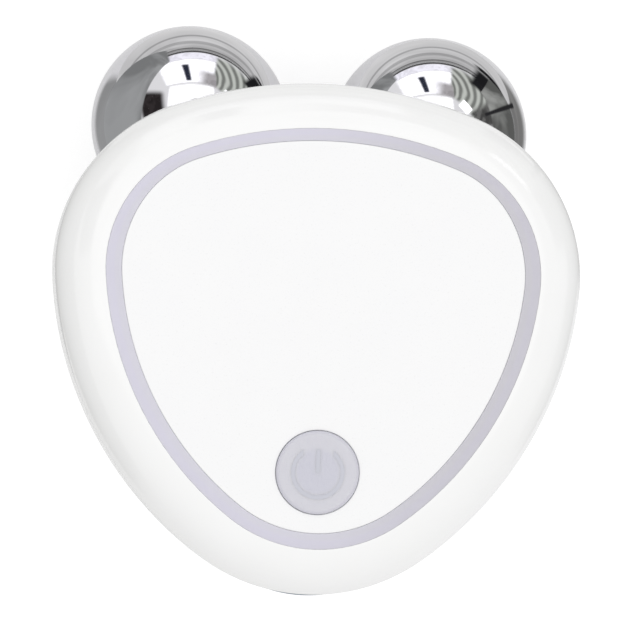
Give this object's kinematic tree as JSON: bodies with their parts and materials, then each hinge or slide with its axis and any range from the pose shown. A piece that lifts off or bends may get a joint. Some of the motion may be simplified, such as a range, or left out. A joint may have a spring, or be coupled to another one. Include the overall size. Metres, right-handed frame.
{
  "type": "facial toning device",
  "caption": "Palm-sized facial toning device: white rounded-triangle handset with a light ring and power button on its face and chrome roller balls sunk in cups behind its head.",
  "frame": {"origin": "bottom centre of the bounding box, on the plane the device rests on when it lies on its back", "axes": "+Z out of the face, +Y towards the head with the balls, +X to the right as the face is seen with the balls at the top"},
  "size_m": [0.0644, 0.0706, 0.0348],
  "materials": {
    "housing_white": "glossy white moulded shell",
    "face_white": "smooth white plate",
    "ring_lens": "translucent pale lilac-grey light ring",
    "button_lens": "translucent pale lilac-grey button",
    "symbol_grey": "slightly darker grey inlay",
    "ball_chrome": "mirror chrome",
    "steel": "turned stainless steel",
    "contact_brass": "plain brass",
    "acetal_white": "natural acetal",
    "carrier_grey": "grey glass-filled nylon",
    "seal_grey": "grey silicone",
    "bezel_blue": "blue-grey satin plastic",
    "board_green": "solder mask",
    "led_white": "small lamp body",
    "chip_black": "black moulded package",
    "coil_grey": "ferrite",
    "capacitor_tan": "tan ceramic block",
    "battery_foil": "soft foil pouch",
    "foam_grey": "closed-cell foam",
    "lead_black": "insulation",
    "lead_red": "insulation",
    "ribbon_amber": "flexible circuit"
  },
  "bodies": {
    "handset": {"front_shell": "housing_white", "rear_shell": "housing_white", "case_seal": "seal_grey", "light_ring": "ring_lens", "face_plate": "face_white", "button_guide": "acetal_white", "switch_housing": "chip_black", "main_board": "board_green", "ring_lights": "led_white", "control_chip": "chip_black", "boost_coil": "coil_grey", "capacitors": "capacitor_tan", "battery_pad": "foam_grey", "battery": "battery_foil", "port_bezel": "bezel_blue", "charging_socket": "steel", "socket_tongue": "chip_black", "port_board": "board_green", "case_screws": "steel", "board_screws": "steel", "axle_carrier": "carrier_grey", "battery_lead_negative": "lead_black", "battery_lead_positive": "lead_red", "port_ribbon": "ribbon_amber", "left_axle": "steel", "left_clip": "steel", "left_thrust_washer": "acetal_white", "left_sleeve": "acetal_white", "left_terminal": "contact_brass", "left_axle_nut": "steel", "left_electrode_lead": "lead_black", "right_axle": "steel", "right_clip": "steel", "right_thrust_washer": "acetal_white", "right_sleeve": "acetal_white", "right_terminal": "contact_brass", "right_axle_nut": "steel", "right_electrode_lead": "lead_black"},
    "button": {"power_button": "button_lens", "power_symbol": "symbol_grey", "switch_plunger": "acetal_white"},
    "left_roller": {"left_ball": "ball_chrome", "left_ball_core": "acetal_white", "left_bush": "acetal_white"},
    "right_roller": {"right_ball": "ball_chrome", "right_ball_core": "acetal_white", "right_bush": "acetal_white"}
  },
  "joints": [
    {"name": "button_press", "type": "slide", "parent": "handset", "child": "button", "axis": [0, 0, -1], "range_m": [0, 0.0005], "stiffness_N_per_m": 1200},
    {"name": "left_roller_spin", "type": "hinge", "parent": "handset", "child": "left_roller", "pos_m": [-0.01525, 0.0228, 0.0125], "axis": [-0.2241, 0.8365, -0.5], "continuous": true},
    {"name": "right_roller_spin", "type": "hinge", "parent": "handset", "child": "right_roller", "pos_m": [0.01525, 0.0228, 0.0125], "axis": [0.2241, 0.8365, -0.5], "continuous": true}
  ]
}
